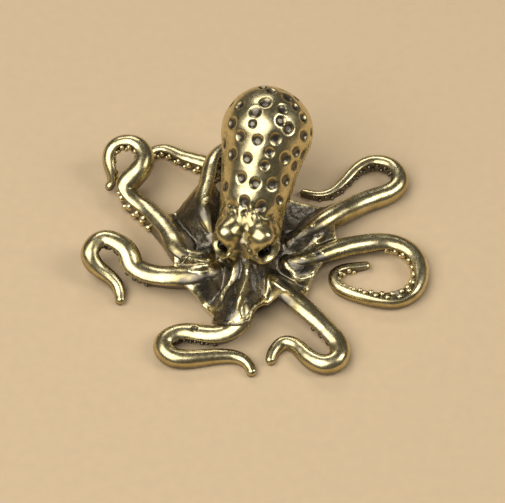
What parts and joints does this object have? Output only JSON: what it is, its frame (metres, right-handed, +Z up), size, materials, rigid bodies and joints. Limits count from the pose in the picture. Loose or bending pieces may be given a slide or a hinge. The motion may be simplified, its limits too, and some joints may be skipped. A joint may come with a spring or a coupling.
{
  "type": "octopus figurine",
  "caption": "Cast brass octopus with a leaning bulbous mantle, brows and bead eyes, an arched web and curling arms lined with suckers, resting flat as a small desk ornament.",
  "frame": {"origin": "middle of the outline seen from above, on the surface that the figurine stands on", "axes": "+Z up, -Y the way the face looks, +X to the right as seen from in front; left and right in the node names are as seen from in front too"},
  "size_m": [0.0359, 0.0301, 0.015],
  "materials": {
    "brass_body": "antiqued, polished on the raised parts",
    "brass_recess": "darkened in the recesses",
    "brass_eye": "darkened and glossy"
  },
  "bodies": {
    "root": {"mantle": "brass_body", "eye_left": "brass_eye", "eye_right": "brass_eye", "web_skirt": "brass_recess", "arm_front_left": "brass_body", "arm_front_right": "brass_body", "arm_side_right": "brass_body", "arm_rear_right": "brass_body", "arm_rear_left": "brass_body", "arm_rear_middle": "brass_body", "arm_corner_left": "brass_body", "arm_side_left": "brass_body", "suckers_front_left": "brass_recess", "suckers_front_right": "brass_recess", "suckers_side_right": "brass_recess", "suckers_rear_right": "brass_recess", "suckers_rear_left": "brass_recess", "suckers_rear_middle": "brass_recess", "suckers_corner_left": "brass_recess", "suckers_side_left": "brass_recess"}
  },
  "joints": []
}
